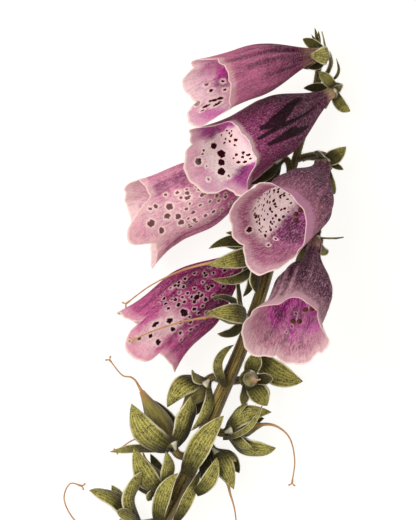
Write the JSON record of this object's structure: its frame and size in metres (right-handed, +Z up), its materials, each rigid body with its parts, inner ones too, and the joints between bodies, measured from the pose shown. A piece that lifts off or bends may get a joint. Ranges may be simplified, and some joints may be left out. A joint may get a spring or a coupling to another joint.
{
  "type": "foxglove flower spike",
  "caption": "Cut foxglove spike lying flat: spotted bell flowers near the tip, green capsules in pointed sepals with dried styles below, on one leaning stem.",
  "frame": {"origin": "bottom centre of the spike as it lies, on the surface that it lies on", "axes": "+Y along the spike from the cut end towards the tip, +Z up from the surface, +X to the side that the tip leans to"},
  "size_m": [0.0808, 0.147, 0.0457],
  "materials": {
    "petal": "satin",
    "anther": "matte",
    "style": "matte",
    "sepal": "satin",
    "stem": "matte"
  },
  "bodies": {
    "root": {"stem": "stem", "corolla_1": "petal", "stamens_1": "anther", "pistil_1": "style", "calyx_1": "sepal", "corolla_2": "petal", "stamens_2": "anther", "pistil_2": "style", "calyx_2": "sepal", "corolla_3": "petal", "stamens_3": "anther", "pistil_3": "style", "calyx_3": "sepal", "corolla_4": "petal", "stamens_4": "anther", "pistil_4": "style", "calyx_4": "sepal", "corolla_5": "petal", "stamens_5": "anther", "pistil_5": "style", "calyx_5": "sepal", "corolla_6": "petal", "stamens_6": "anther", "pistil_6": "style", "calyx_6": "sepal", "fruit_calyx_1": "sepal", "capsule_1": "style", "fruit_calyx_2": "sepal", "capsule_2": "style", "fruit_calyx_3": "sepal", "capsule_3": "style", "fruit_calyx_4": "sepal", "capsule_4": "style", "fruit_calyx_5": "sepal", "capsule_5": "style", "fruit_calyx_6": "sepal", "capsule_6": "style", "fruit_calyx_7": "sepal", "capsule_7": "style", "fruit_calyx_8": "sepal", "capsule_8": "style", "fruit_calyx_9": "sepal", "capsule_9": "style", "bract_1": "sepal", "bract_2": "sepal", "bract_3": "sepal", "bract_4": "sepal", "bract_5": "sepal", "bract_6": "sepal", "bract_7": "sepal", "bract_8": "sepal", "tip_buds": "sepal"}
  },
  "joints": []
}
